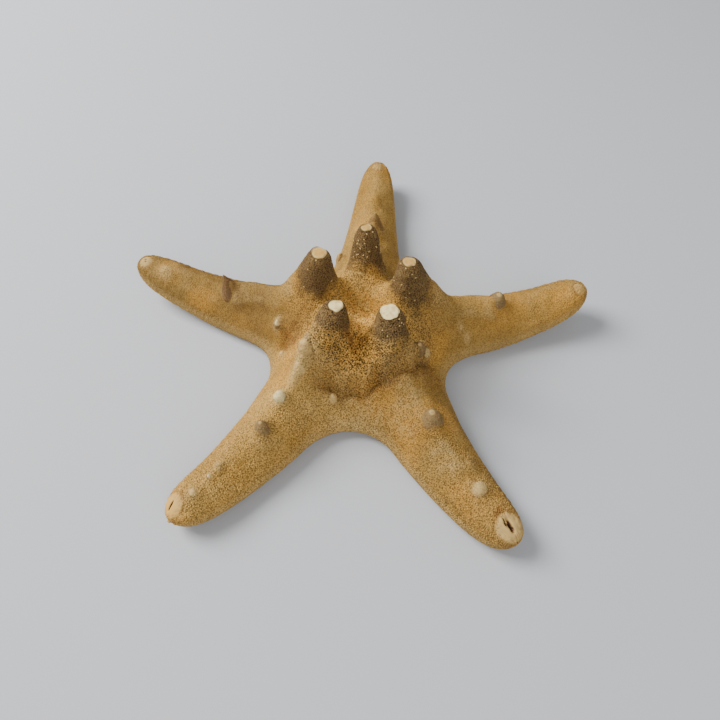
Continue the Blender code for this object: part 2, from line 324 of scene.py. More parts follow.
# Skin colours
TAN = linear(197, 156, 82)
OCHRE = linear(188, 143, 66)
BROWN = linear(148, 110, 64)
PALE = linear(212, 176, 108)
GREY = linear(104, 81, 50)
SLIT_TONE = linear(62, 36, 20)
NAMED = dict(
    white=linear(226, 204, 144),
    cream=linear(190, 160, 100),
    dust=linear(198, 168, 108),
    pale=linear(212, 178, 112),
    grey=linear(138, 114, 74),
    spike=linear(116, 90, 60),
    umber=linear(126, 90, 50),
    brown=linear(146, 114, 66),
    plain=OCHRE,
    orange=linear(222, 160, 66),
    rust=linear(144, 88, 34),
    dark=linear(44, 24, 12),
)


def away(points, x, y):
    """Level distance of each point from a place in millimetres."""
    return np.hypot(points[:, 0] - x * MM, points[:, 1] - y * MM)


def turned(x, y, degrees):
    """Coordinates along and across a direction."""
    turn = np.radians(degrees)
    return x * np.cos(turn) + y * np.sin(turn), y * np.cos(turn) - x * np.sin(turn)


def half_angle(index, side):
    """Half the angle between an arm and its neighbour on that side."""
    step = 1 if side == 1 else -1
    turn = (ARMS[(index + step) % 5]["azimuth"] - ARMS[index]["azimuth"]) * step
    return np.radians(turn % 360.0) / 2.0


def margin(index, side, t):
    """Distance along the arm and half width of the margin at t, even in length along the margin.

    The half width is a straight taper plus a flare that meets the neighbour squarely at the
    notch, times the square root of 1 - (a / reach) ** bluntness, which rounds the tip off.
    """
    arm = ARMS[index]
    angle = half_angle(index, side)
    notch = NOTCHES[index if side == 1 else (index - 1) % 5]
    start = notch * np.cos(angle)
    reach = arm["reach"]
    body = np.linspace(start, FINE_FROM * reach, MARGIN_STEPS)
    end = np.linspace(FINE_FROM * reach, reach, MARGIN_STEPS)
    a = np.concatenate([body, end[1:]])
    taper = arm["half"][side] + TAPER * (HALF_WIDTH_AT - a)
    flare = max(notch * np.sin(angle) - taper[0], LEAST_FLARE)
    run = flare / (1.0 / np.tan(angle) - TAPER)
    width = (taper + flare * np.exp((start - a) / run)) * np.sqrt(1.0 - (a / reach) ** TIP_BLUNTNESS)
    width[0] = notch * np.sin(angle)
    width[-1] = 0.0
    length = np.concatenate([[0.0], np.cumsum(np.hypot(np.diff(a), np.diff(width)))])
    return np.interp(t * length[-1], length, a), np.interp(t * length[-1], length, width)


def rise_and_bow(arm, along, notch):
    """How far an arm is raised and bowed sideways at that share of its reach."""
    start = notch / arm["reach"]
    u = np.clip((along - start) / (1.0 - start), 0.0, 1.0)
    rise = arm["rise"] * ease((along - RISE_FROM) / (RISE_TO - RISE_FROM)) ** 1.3
    return rise, arm["bow"] * 4.0 * u * (1.0 - u) * ease(u / 0.25)


def half_arm(index, side, t, w, below):
    """Points of one half arm's upper or lower skin, before the crown and the knobs.

    A row runs straight from the arm's middle line (w = 0) to the margin (w = 1). Its foot on the
    middle line is the two margins' mean distance times 1 - (1 - t) ** 4 * (1 + 4 t), so that rows
    start at the disc's centre and leave the notch line squarely. Above, the height falls from the
    crest to the margin as (1 - w ** p) ** q, with a row of scallops above the margin. Below, it is
    flat with a rounded edge and a groove.
    """
    arm = ARMS[index]
    out, width = margin(index, side, t)
    middle = (out + margin(index, 1 - side, t)[0]) / 2.0
    foot = middle * (1.0 - (1.0 - t) ** 4 * (1.0 + 4.0 * t))
    a = foot + w * (out - foot)
    b = w * width
    x = np.clip(foot / arm["reach"], 0.0, 1.0)
    end = np.sqrt(1.0 - x ** 26)
    if below:
        z = MARGIN_HEIGHT * (1.0 - end * (1.0 - w ** 6) ** 0.35)
        narrow = GROOVE_HALF_WIDTH * (1.0 - 0.45 * x)
        fade = ease((1.0 - x) / 0.08)
        z = z + GROOVE_DEPTH * fade * (1.0 - 0.45 * x) * np.exp(-(b / narrow) ** 4)
        z = z + MOUTH_DEPTH * bell(np.hypot(a, b), MOUTH_RADIUS, 6.0) + SOLE_HEIGHT * (1.0 - w ** 6)
    else:
        crest = DISC_HEIGHT + (TIP_HEIGHT - DISC_HEIGHT) * ease((x - 0.25) / 0.75)
        roundness = ease((x - 0.7) / 0.3)
        fall = (1.0 - w ** (1.6 + 0.4 * roundness)) ** (0.7 - 0.2 * roundness)
        z = MARGIN_HEIGHT + (crest - MARGIN_HEIGHT) * end * fall
    rise, bow = rise_and_bow(arm, a / arm["reach"], NOTCHES[index])
    z = z + rise
    if not below:
        line = margin(index, side, np.linspace(0.0, 1.0, 200))
        length = np.sum(np.hypot(np.diff(line[0]), np.diff(line[1])))
        plate = np.abs(np.sin(np.pi * t * length / SCALLOP_PITCH)) ** 0.6
        inward = (1.0 - w) * np.hypot(out - foot, width)
        band = ease((SCALLOP_BAND - inward) / SCALLOP_FADE) * (1.0 - w ** 12)
        z = z + SCALLOP_DEPTH * plate * band
        b = b + SCALLOP_DEPTH * plate * band
    b = (b if side == 1 else -b) + bow
    turn = np.radians(arm["azimuth"])
    return np.stack([a * np.cos(turn) - b * np.sin(turn), a * np.sin(turn) + b * np.cos(turn), z], axis=-1)


def from_ledge(x, y):
    """Share of the ledge at this direction from the centre, and distance beyond it in widths."""
    angle = np.degrees(np.arctan2(y, x)) % 360.0
    sector = ease((angle - LEDGE_FROM) / LEDGE_FADES[0]) * ease((LEDGE_TO - angle) / LEDGE_FADES[1])
    line = LEDGE_RADIUS
    for middle, spread, bulge in LEDGE_BULGES:
        line = line + bulge * np.exp(-((angle - middle) / spread) ** 2)
    line = line + LEDGE_WOBBLE * np.sin(np.radians(13.0 * angle)) * np.cos(np.radians(7.0 * angle + 40.0))
    return sector, (np.hypot(x, y) - line) / LEDGE_WIDTH


def inside_ledge(points):
    """1 inside the ledge and in the sectors without it, falling to 0 just beyond it."""
    sector, beyond = from_ledge(points[:, 0], points[:, 1])
    return 1.0 - sector * ease((beyond + 0.9) / 1.0)


def raise_crown(points):
    """Lift the upper skin into the crown, step it at the ledge and the terraces, and add lumps."""
    x, y, z = points.T
    r = np.hypot(x, y)
    z = z + CROWN_HEIGHT * bell(r, CROWN_RADIUS, 6.0)
    z = z - CROWN_HOLLOW * np.exp(-(r / CROWN_HOLLOW_RADIUS) ** 2)
    sector, beyond = from_ledge(x, y)
    lip = LEDGE_LIP * ease(-beyond / 0.9) * np.exp(-np.maximum(-beyond - 1.0, 0.0) / 2.6)
    undercut = LEDGE_UNDERCUT * np.exp(-((beyond - 0.8) / 1.1) ** 2)
    z = z + sector * (lip - undercut)
    for index, start, end, height, front, back, side in CRESTS:
        a, b = turned(x, y, ARMS[index]["azimuth"])
        b = side * b
        edge = front + 0.6 * MM * np.sin(a / (3.1 * MM))
        across = 1.0 / (1.0 + np.exp((b - edge) / (0.45 * MM)) + np.exp((-b - back) / (1.4 * MM)))
        z = z + height * across * ease((a - start) / (8.0 * MM)) * ease((end - a) / (5.0 * MM))
    for size, height, seed in LUMPS:
        z = z + height * noise(points, size, seed)
    return np.stack([x, y, z], axis=-1)


def raise_skirts(points):
    """Swell the skin on the outer side of each horn's foot and at the buttresses."""
    for horn in HORNS:
        foot = np.array(horn["foot"]) * MM
        skirt = foot + foot / np.hypot(*foot) * SKIRT_OUT
        reach = np.hypot(points[:, 0] - skirt[0], points[:, 1] - skirt[1])
        points[:, 2] += horn["skirt"] * MM * bell(reach, SKIRT_RADIUS, 3.0)
    for x, y, height, radius in BUTTRESSES:
        points[:, 2] += height * MM * bell(away(points, x, y), radius * MM, 4.0) * inside_ledge(points)
    return points


def raise_horns(points):
    """Push the skin along each horn's axis by a steep bell at its foot only.

    Inside the foot it goes back to the ground, hidden under the horn's own surface. Also gives
    each point's share of the height of each horn, one column for each.
    """
    lifted = points.copy()
    shares = []
    for horn in HORNS:
        foot = np.array(horn["foot"]) * MM
        distance = away(points, *horn["foot"])
        axis = np.array(horn["tip"]) * MM - np.array([*foot, points[np.argmin(distance), 2]])
        share = bell(distance, horn["radius"] * MM, HORN_STEEPNESS)
        lifted += (share * (1.0 - ease((share - 0.15) / 0.2)))[:, None] * axis
        shares.append(share)
    return lifted, np.stack(shares, axis=-1)


def ground_tree(ground):
    """Search tree of the ground's points as seen from above."""
    tree = KDTree(len(ground))
    for index, point in enumerate(ground):
        tree.insert((point[0], point[1], 0.0), index)
    tree.balance()
    return tree


def heights_under(places, tree, ground):
    """The ground's height at each place, averaged from the nearest of its points."""
    under = np.empty(len(places))
    for index, (x, y) in enumerate(places):
        near = tree.find_n((x, y, 0.0), 8)
        weight = np.array([np.exp(-(found[2] / (0.5 * MM)) ** 2) + 1e-9 for found in near])
        under[index] = (weight * [ground[found[1], 2] for found in near]).sum() / weight.sum()
    return under


def build_horns(ground):
    """The five horns as surfaces of their own, finer than the skin, with broken tops.

    At share s of its height a horn's skin stands radius * ((1 - s) / s) ** (1 / steepness) from
    its axis, more or less by noise, on the ground's height there, which passes into the height at
    the axis further up. Over the cap's edge the height grows at under a third of its rate and
    follows the cap's slope. At the foot the surface dips under the skin.
    """
    tree = ground_tree(ground)
    v = np.linspace(0.0, 1.0, HORN_RINGS + 1)[:-1]
    level = 1.0 - (1.0 - HORN_FOOT) * (1.0 - v) ** 2.0
    turn = np.arange(HORN_SIDES) * 2.0 * np.pi / HORN_SIDES
    every_point, every_face, tones, gaps, levels = [], [], [], [], []
    for column, horn in enumerate(HORNS):
        foot = np.array(horn["foot"]) * MM
        share = np.append(np.repeat(level, HORN_SIDES), (HORN_FOOT, 1.0))
        around = np.append(np.tile(turn, HORN_RINGS), (0.0, 0.0))
        reach = horn["radius"] * MM * ((1.0 - share) / share) ** (1.0 / HORN_STEEPNESS)
        reach[-2] = 0.0
        way = np.column_stack([np.cos(around), np.sin(around), 2.0 * share])
        reach = reach * (1.0 + 0.20 * ease((share - 0.30) / 0.40) * noise(way, 0.9, 91 + column))
        flat = np.stack([reach * np.cos(around), reach * np.sin(around)], axis=-1)
        under = heights_under(flat + foot, tree, ground)
        under = under + (under[-1] - under) * ease((share - 0.35) / 0.55)
        axis = np.array(horn["tip"]) * MM - np.array([*foot, under[-1]])
        cap = horn["cap"]
        over = np.maximum(share - cap, 0.0)
        rise = (np.minimum(share, cap) + CAP_RATE * over) / (cap + CAP_RATE * (1.0 - cap))
        points = np.column_stack([flat + foot, under]) + rise[:, None] * axis
        rough = noise(points, 2.6 * MM, 51 + column) + 0.5 * noise(points, 1.1 * MM, 56 + column)
        outward = np.column_stack([np.cos(around), np.sin(around)])
        swell = 0.16 + 0.20 * rough * ease((1.0 - share) / 0.02)
        points[:-2, :2] += (outward * (swell * ease((share - HORN_FOOT) / 0.15) * MM)[:, None])[:-2]
        points[:, 2] -= 0.5 * MM * (1.0 - ease((share - HORN_FOOT) / 0.12))
        capped = ease(over / (0.4 * (1.0 - cap)))
        chip = 0.16 * MM * noise(points, 0.8 * MM, 61 + column)
        points[:, 2] += capped * (flat @ np.array(horn["tilt"]) + chip)
        shares = np.zeros((len(points), len(HORNS)))
        shares[:, column] = share
        plain = np.zeros(len(points))
        tone, gap = skin_tone(points, shares, plain, plain, plain)
        every_face.append(closed_faces(HORN_RINGS, HORN_SIDES) + len(points) * column)
        every_point.append(points + DISC_CENTRE)
        tones.append(tone)
        gaps.append(gap)
        levels.append(share)
    level = np.concatenate(levels)
    values = {"gap": np.concatenate(gaps), "upper": np.ones(len(level)), "horn": level,
              "bare": (level < 0.18).astype(float)}
    return new_piece("horns", *map(np.concatenate, (every_point, every_face, tones)), values)


def raise_knobs(points):
    """Add the swellings under the knobs, sink the slits and crease the worn tips."""
    lift = np.zeros(len(points))
    for knob in KNOBS:
        height = knob["height"] * (0.72 if knob["crisp"] else 1.0)
        lift += height * MM * bell(away(points, *knob["at"]), knob["radius"] * MM, knob["steep"])
    cut = np.zeros(len(points))
    ragged = 1.0 + 0.5 * noise(points, 0.6 * MM, 61)
    for x, y, direction, length, width, depth in SLITS:
        a, b = turned(points[:, 0] - x * MM, points[:, 1] - y * MM, direction)
        slit = np.exp(-(a / (length * MM)) ** 4 - (b / (width * MM * ragged)) ** 2)
        lift -= depth * MM * slit
        cut = np.maximum(cut, slit)
    for x, y, radius, _, _, creases in TIP_CAPS:
        east = points[:, 0] - x * MM
        north = points[:, 1] - y * MM
        reach = np.hypot(east, north) / (radius * MM)
        turn = np.arctan2(north, east) + 0.25 * noise(points, 1.2 * MM, 62)
        lift -= 0.30 * MM * np.exp(-((reach - 1.05) / 0.10) ** 2)
        lift += 0.14 * MM * np.cos(creases * turn) * np.exp(-((reach - 0.75) / 0.22) ** 2)
    points[:, 2] += lift
    return points, cut


def row_steps():
    """t for each row, closer together where the horns stand."""
    fine = np.linspace(0.0, 1.0, 2001)
    density = 1.0 + 1.3 * np.exp(-((fine - 0.27) / 0.12) ** 2)
    summed = np.concatenate([[0.0], np.cumsum((density[1:] + density[:-1]) / 2.0)])
    return np.interp(np.linspace(0.0, 1.0, ROWS + 1), summed / summed[-1], fine)


def sheets(below):
    """All ten half arms' sheets as one array of points, with each point's w."""
    columns = COLUMNS_BELOW if below else COLUMNS_ABOVE
    t, u = np.meshgrid(row_steps(), np.linspace(0.0, 1.0, columns + 1), indexing="ij")
    w = np.sin(u.ravel() ** 1.15 * np.pi / 2.0)
    w[w > 1.0 - 1e-12] = 1.0
    halves = [half_arm(index, side, t.ravel(), w, below) for index in range(5) for side in (0, 1)]
    return np.concatenate(halves), np.tile(w, 10)


def sheet_faces(columns, count, first, flip):
    """Quads of that many sheets laid one after another, turned over where flip says."""
    index = np.arange((ROWS + 1) * (columns + 1)).reshape(ROWS + 1, columns + 1)
    quads = np.stack([index[:-1, :-1], index[1:, :-1], index[1:, 1:], index[:-1, 1:]], axis=-1)
    quads = quads.reshape(-1, 4)
    size = (ROWS + 1) * (columns + 1)
    return np.concatenate([quads[:, ::-1] + first + k * size if flip[k] else quads + first + k * size
                           for k in range(count)])


def new_piece(name, points, faces, colour, values):
    """A smooth mesh object from whole arrays, with its colour and number attributes."""
    mesh = bpy.data.meshes.new(name)
    mesh.vertices.add(len(points))
    mesh.vertices.foreach_set("co", np.ascontiguousarray(points, dtype=np.float32).ravel())
    mesh.loops.add(faces.size)
    mesh.loops.foreach_set("vertex_index", faces.ravel().astype(np.int32))
    mesh.polygons.add(len(faces))
    mesh.polygons.foreach_set("loop_start", np.arange(0, faces.size, faces.shape[1], dtype=np.int32))
    mesh.polygons.foreach_set("use_smooth", np.ones(len(faces), dtype=bool))
    mesh.update(calc_edges=True)
    layer = mesh.color_attributes.new("tone", "FLOAT_COLOR", "POINT")
    tone = np.column_stack([colour, np.ones(len(colour))])
    layer.data.foreach_set("color", tone.astype(np.float32).ravel())
    for key, value in values.items():
        layer = mesh.attributes.new(key, "FLOAT", "POINT")
        layer.data.foreach_set("value", value.astype(np.float32))
    piece = bpy.data.objects.new(name, mesh)
    bpy.context.scene.collection.objects.link(piece)
    return piece


def mixed(base, other, share):
    """Blend two colours by a share for each point."""
    return base + (other - base) * share[:, None]


def above_surroundings(points):
    """Height of each point over the skin's average height around it, by which shade is painted into
    hollows and light onto ridges.

    Heights are averaged onto a square grid and blurred by a Gaussian along both directions, with
    empty cells left out, then read back between the four nearest cells.
    """
    step = 0.5 * MM
    kernel = np.exp(-(np.arange(-10, 11) * step / (2.2 * MM)) ** 2 / 2.0)
    place = (points[:, :2] - points[:, :2].min(axis=0)) / step + 12.0
    cell = np.round(place).astype(int)
    size = cell.max(axis=0) + 13
    flat = cell[:, 0] * size[1] + cell[:, 1]
    layers = [np.bincount(flat, weight, size[0] * size[1]).reshape(size) for weight in (points[:, 2], None)]
    heights = layers[0] / np.maximum(layers[1], 1)
    blurred = []
    for layer in (heights, (layers[1] > 0).astype(float)):
        for axis in (0, 1):
            layer = sum(np.roll(layer, shift, axis) * kernel[shift + 10] for shift in range(-10, 11))
        blurred.append(layer)
    smooth = blurred[0] / np.maximum(blurred[1], 1e-9)
    low = np.floor(place).astype(int)
    u, v = (place - low).T
    i, j = low.T
    here = (smooth[i, j] * (1.0 - u) * (1.0 - v) + smooth[i + 1, j] * u * (1.0 - v)
            + smooth[i, j + 1] * (1.0 - u) * v + smooth[i + 1, j + 1] * u * v)
    return points[:, 2] - here


def ground_tone(points, w, raised):
    """Colour of the skin and the darkness of its gaps, before horns, knobs and worn tips.

    Tan and ochre blotches, each arm's factor (partly its own tone, partly painted light and shade),
    a crown and a hollow lightened as painted light, a brown band beyond the ledge as painted shadow,
    brown in hollows as painted shade, pale on ridges as painted light, and the patches.
    """
    x, y, _ = points.T
    r = np.hypot(x, y)
    angle = np.degrees(np.arctan2(y, x)) % 360.0
    blotch = noise(points, 9.0 * MM, 3) + 0.4 * noise(points, 2.5 * MM, 4)
    tone = mixed(TAN, OCHRE, ease(0.45 + 0.5 * blotch))
    outer = ease((r - 18.0 * MM) / (14.0 * MM))
    # Each arm's factor away from the crown: partly its own tone, partly painted light and shade.
    for arm in ARMS:
        near = np.cos(np.radians(angle - arm["azimuth"]))
        tone = tone * (1.0 + (arm["shade"] - 1.0) * outer * ease((near - 0.75) / 0.2))[:, None]
    tone = mixed(tone, NAMED["orange"], 0.35 * ease(1.5 * noise(points, 11.0 * MM, 77)))
    tone = tone * (1.0 + 0.10 * noise(points, 6.0 * MM, 75) + 0.08 * noise(points, 2.0 * MM, 76))[:, None]
    front = ease((angle - 180.0) / 40.0) * ease((360.0 - angle) / 40.0)
    crown = bell(r, 22.0 * MM, 9.0) * (0.45 + 0.55 * front)
    hollow = np.exp(-((x - 1.0 * MM) ** 2 + (y + 5.0 * MM) ** 2) / (9.0 * MM) ** 2)
    # Painted light: the crown and the hollow between the horns are made lighter to lift the shade that
    # falls on them.
    tone = tone * (1.0 + 0.34 * crown + 0.58 * hollow)[:, None]
    gap = np.minimum(0.40 + 0.70 * crown * (1.0 - 0.6 * hollow), 1.0)
    for index, side in ((2, 1.0), (3, -1.0)):
        a, b = turned(x, y, ARMS[index]["azimuth"])
        facing = ease((side * b + 5.0 * MM) / (9.0 * MM))
        gap = np.maximum(gap, 0.60 * facing * ease((62.0 * MM - a) / (30.0 * MM)) * ease(a / (12.0 * MM)))
    sector, beyond = from_ledge(x, y)
    # Painted shadow: a brown band just beyond the ledge, where the lip's shadow falls.
    tone = mixed(tone, NAMED["umber"], 0.50 * sector * np.exp(-((beyond - 1.4) / 1.8) ** 2))
    # Painted shade and light from the relief: umber where the skin lies below its surroundings, pale where
    # it stands above them.
    inner = ease((0.93 - w) / 0.25)
    sunken = ease((-raised - 0.10 * MM) / (0.9 * MM))
    tone = mixed(tone, NAMED["umber"], 0.25 * inner * (1.0 - 0.6 * hollow) * sunken)
    tone = mixed(tone, NAMED["dust"], 0.35 * inner * ease((raised - 0.15 * MM) / (0.9 * MM)))
    for px, py, radius, name, strength in PATCHES:
        near = away(points, px, py) / (radius * MM)
        near = near + 0.45 * noise(points, 0.5 * radius * MM, 71)
        broken = 0.25 + 0.75 * ease(0.5 + 1.5 * noise(points, 1.3 * MM, 73))
        tone = mixed(tone, NAMED[name], strength * ease((1.5 - near) / 1.1) * broken)
    return tone, gap


def stain_horns(points, share, tone, gap):
    """Lay dark collars and pale stained caps over the colour, with no gaps on the caps."""
    for column, horn in enumerate(HORNS):
        height = share[:, column] + 0.07 * noise(points, 1.6 * MM, 11 + column)
        height = height + 0.10 * noise(points, 4.0 * MM, 32)
        lighter = ease(1.1 * noise(points, 2.2 * MM, 33) - 0.15)
        stain = mixed(np.tile(GREY, (len(points), 1)), NAMED["grey"], lighter)
        tone = mixed(tone, stain, 0.92 * ease((height - horn["collar"] + 0.16) / 0.40))
        chipped = horn["cap"] + 0.25 * (1.0 - horn["cap"]) * noise(points, 0.9 * MM, 34)
        top = ease((share[:, column] - chipped) / 0.006 + 0.5)
        tone = mixed(tone, NAMED[horn["tone"]], top)
        tone = mixed(tone, BROWN, 0.45 * top * ease(1.6 * noise(points, 0.8 * MM, 31) - 0.2))
        heart = ease((share[:, column] - horn["cap"]) / (0.6 * (1.0 - horn["cap"])) - 0.6)
        tone = mixed(tone, OCHRE, 0.7 * heart * (horn["tone"] == "cream"))
        gap = gap * (1.0 - top)
    return tone, gap


def wear_tips(points, tone, gap):
    """Lay the worn tips over the colour, with stains, radial creases, a brown ring and no gaps."""
    x, y, _ = points.T
    for tx, ty, radius, name, strength, creases in TIP_CAPS:
        reach = away(points, tx, ty) / (radius * MM) + 0.10 * noise(points, 1.0 * MM, 72)
        turn = np.arctan2(y - ty * MM, x - tx * MM) + 0.25 * noise(points, 1.2 * MM, 62)
        tone = mixed(tone, NAMED[name], strength * ease((1.08 - reach) / 0.16))
        stain = 0.4 * ease(0.3 + 0.8 * noise(points, 1.3 * MM, 74)) * ease((1.0 - reach) / 0.2)
        tone = mixed(tone, NAMED["grey"], stain)
        crease = np.exp(-(np.cos(creases * turn / 2.0) / 0.22) ** 2) * np.exp(-((reach - 0.8) / 0.25) ** 2)
        ring = np.exp(-((reach - 1.12) / 0.09) ** 2)
        tone = mixed(tone, BROWN, np.maximum(0.65 * crease, 0.4 * ring))
        gap = gap * (1.0 - ease((1.1 - reach) / 0.2))
    return tone, gap


def skin_tone(points, share, cut, w, raised):
    """Colour of the upper skin and how dark the gaps between its granules are.

    The ground's colour comes first, then the horns, the knobs, the worn tips, the dark slits and
    the paler margin.
    """
    tone, gap = ground_tone(points, w, raised)
    tone, gap = stain_horns(points, share, tone, gap)
    for knob in KNOBS:
        near = bell(away(points, *knob["at"]), knob["radius"] * MM, 6.0)
        tone = mixed(tone, NAMED[knob["finish"]], near * (0.35 if knob["crisp"] else 0.65))
    tone, gap = wear_tips(points, tone, gap)
    tone = mixed(tone, SLIT_TONE, ease((cut - 0.25) / 0.3))
    return mixed(tone, NAMED["dust"], 0.40 * ease((w - 0.86) / 0.12)), gap


def build_skin():
    """The whole skin, above and below, welded into one closed surface.

    Also gives the upper skin before the horns and the height of the skin under each knob.
    """
    above, w_above = sheets(below=False)
    ground = raise_skirts(raise_crown(above))
    lifted, share = raise_horns(ground)
    feet = [lifted[np.argmin(away(lifted, *knob["at"])), 2] for knob in KNOBS]
    raised, cut = raise_knobs(lifted)
    fade = (1.0 - w_above ** 8)[:, None]
    above = above + (raised - above) * fade
    tone, gap = skin_tone(above, share, cut, w_above, above_surroundings(ground))
    below, w_below = sheets(below=True)
    under = mixed(TAN, PALE, 0.5 * ease((0.9 - w_below) / 0.3)) * 0.9
    points = np.concatenate([above, below]) + DISC_CENTRE
    flips = [True, False] * 5
    faces = np.concatenate([
        sheet_faces(COLUMNS_ABOVE, 10, 0, flips),
        sheet_faces(COLUMNS_BELOW, 10, len(above), [not flip for flip in flips]),
    ])
    colour = np.concatenate([tone, under])
    gaps = np.concatenate([gap, np.full(len(below), 0.45)])
    upper = np.concatenate([np.ones(len(above)), np.zeros(len(below))])
    horn = np.concatenate([share.max(axis=1), np.zeros(len(below))])
    bare = (share.max(axis=1) > 0.27).astype(float)
    for x, y, radius, _, _, _ in TIP_CAPS[:3]:
        bare = np.maximum(bare, above_within(above, x, y, 0.9 * radius))
    for knob in KNOBS:
        if knob["crisp"]:
            bare = np.maximum(bare, above_within(above, *knob["at"], 0.9 * knob["crisp"]))
    bare = np.concatenate([bare, np.zeros(len(below))])
    values = {"gap": gaps, "upper": upper, "horn": horn, "bare": bare}
    skin = new_piece("skin", points, faces, colour, values)
    work = bmesh.new()
    work.from_mesh(skin.data)
    bmesh.ops.remove_doubles(work, verts=work.verts, dist=0.004 * MM)
    bmesh.ops.dissolve_degenerate(work, edges=work.edges, dist=0.002 * MM)
    bmesh.ops.recalc_face_normals(work, faces=work.faces)
    work.to_mesh(skin.data)
    work.free()
    return skin, ground, feet


def above_within(points, x, y, radius):
    """1 for points within that many millimetres of a place, otherwise 0."""
    return (away(points, x, y) < radius * MM).astype(float)


def read(layer, key, number, width):
    """One property of each item of a layer, as rows of that width."""
    values = np.empty(number * width, dtype=np.float32)
    layer.foreach_get(key, values)
    return values.reshape(-1, width)


def sample(piece, count, seed):
    """Random places spread evenly over a piece's area, with normals and attributes.

    A triangle is drawn by its area, and the place inside it by two random shares folded back into
    the triangle.
    """
    mesh = piece.data
    mesh.calc_loop_triangles()
    corners = np.empty(len(mesh.loop_triangles) * 3, dtype=np.int32)
    mesh.loop_triangles.foreach_get("vertices", corners)
    corners = corners.reshape(-1, 3)
    number = len(mesh.vertices)
    table = [read(mesh.vertices, "co", number, 3), read(mesh.vertex_normals, "vector", number, 3),
             read(mesh.color_attributes["tone"].data, "color", number, 4)[:, :3]]
    for key in ("gap", "upper", "horn", "bare"):
        table.append(read(mesh.attributes[key].data, "value", number, 1))
    table = np.concatenate(table, axis=1).astype(np.float64)
    a, b, c = (table[corners[:, k], :3] for k in range(3))
    area = np.linalg.norm(np.cross(b - a, c - a), axis=1)
    chance = np.random.default_rng(seed)
    pick = chance.choice(len(corners), size=count, p=area / area.sum())
    share = chance.random((count, 2))
    share = np.where(share.sum(axis=1, keepdims=True) > 1.0, 1.0 - share, share)
    p, q, s = (table[corners[pick, k]] for k in range(3))
    found = p + (q - p) * share[:, :1] + (s - p) * share[:, 1:]
    found[:, 3:6] /= np.linalg.norm(found[:, 3:6], axis=1, keepdims=True) + 1e-12
    return found


def thin_out(points, spacing):
    """Indices of places that keep their spacing: each place kept strikes out its neighbours."""
    tree = KDTree(len(points))
    for index, point in enumerate(points):
        tree.insert(point, index)
    tree.balance()
    free = np.ones(len(points), dtype=bool)
    kept = []
    for index in range(len(points)):
        if free[index]:
            kept.append(index)
            free[[found[1] for found in tree.find_range(points[index], spacing[index])]] = False
    return np.array(kept)


def closed_faces(rings, sides):
    """Triangles of a stack of rings closed by a bottom and a top pole, whose points come last."""
    here = np.arange(sides)
    there = (here + 1) % sides
    base = np.arange(rings - 1)[:, None] * sides
    last = (rings - 1) * sides
    return np.concatenate([
        np.stack([base + here, base + there, base + there + sides], axis=-1).reshape(-1, 3),
        np.stack([base + here, base + there + sides, base + here + sides], axis=-1).reshape(-1, 3),
        np.stack([there, here, np.full(sides, rings * sides)], axis=-1),
        np.stack([last + here, last + there, np.full(sides, rings * sides + 1)], axis=-1),
    ])


def turned_shape(widths, heights, sides):
    """A profile turned about the vertical: rings of those widths and heights between two poles.

    The first and the last height are the poles', so there is one width fewer at each end.
    """
    turn = np.arange(sides) * 2.0 * np.pi / sides
    ring = np.stack([np.cos(turn), np.sin(turn)], axis=-1)
    wall = ring[None] * np.array(widths)[:, None, None]
    level = np.broadcast_to(np.array(heights)[1:-1, None, None], (len(widths), sides, 1))
    poles = np.array([[0.0, 0.0, heights[0]], [0.0, 0.0, heights[-1]]])
    return np.concatenate([np.concatenate([wall, level], axis=-1).reshape(-1, 3), poles])


def tangents(normals, chance):
    """Two unit directions across each normal, turned at random about it."""
    guess = chance.normal(size=normals.shape)
    first = np.cross(normals, guess)
    first /= np.linalg.norm(first, axis=1, keepdims=True)
    return first, np.cross(normals, first)


def placed(local, place, first, second, normal):
    """Local points of each copy, carried to its place along its own three directions."""
    return (place[:, None] + local[:, :, :1] * first[:, None] + local[:, :, 1:2] * second[:, None]
            + local[:, :, 2:] * normal[:, None])


def joined(name, points, faces, colour, gap):
    """One piece from many copies of a shape, each copy with one colour and darkness of pores."""
    count, size = points.shape[:2]
    every = (faces[None] + np.arange(count)[:, None, None] * size).reshape(-1, 3)
    return new_piece(name, points.reshape(-1, 3), every, np.repeat(colour, size, axis=0),
                     {"gap": np.repeat(gap, size)})


def granule_places(skin, horns, knobs, chance):
    """Places of the granules with normals and attributes, at their spacing.

    None lie on caps, bare spots and the grooves' walls, and where the gaps are dark a few are left
    out. Also gives each one's spacing, whether it is on a collar, and the share of specks there.
    """
    found = np.concatenate([sample(horns, DRAWN_ON_HORNS, 6), sample(knobs, DRAWN_ON_KNOBS, 7),
                            sample(skin, DRAWN_ON_SKIN, 5)])
    place, normal = found[:, :3], found[:, 3:6]
    gap, upper, horn, bare = found[:, 9], found[:, 10] > 0.5, found[:, 11], found[:, 12] > 0.5
    collar = horn > 0.45
    spacing = np.where(upper, (SPACING + 0.03 * gap) * MM, SPACING_BELOW * MM)
    spacing = np.where(collar, SPACING_COLLAR * MM, spacing) * (1.0 + 0.12 * chance.random(len(found)))
    pits = 0.5 + 0.4 * noise(place, 0.7 * MM, 21) + 0.3 * (chance.random(len(found)) - 0.5)
    groove = ~upper & (normal[:, 2] > -0.75) & (place[:, 2] < 5.0 * MM)
    capped = np.zeros(len(found), dtype=bool)
    specks = np.zeros(len(found))
    for item in HORNS:
        tip = np.array(item["tip"][:2]) * MM + DISC_CENTRE[:2]
        near = np.hypot(place[:, 0] - tip[0], place[:, 1] - tip[1]) < 6.5 * MM
        capped |= near & (horn > item["cap"] - 0.03)
        specks = np.where(near, item["specks"], specks)
    wanted = np.flatnonzero(~(capped | bare | groove))
    kept = wanted[thin_out(place[wanted], spacing[wanted])]
    keep = kept[~((pits < 0.22 * gap) & ~collar)[kept]]
    return found[keep], spacing[keep], collar[keep], specks[keep]


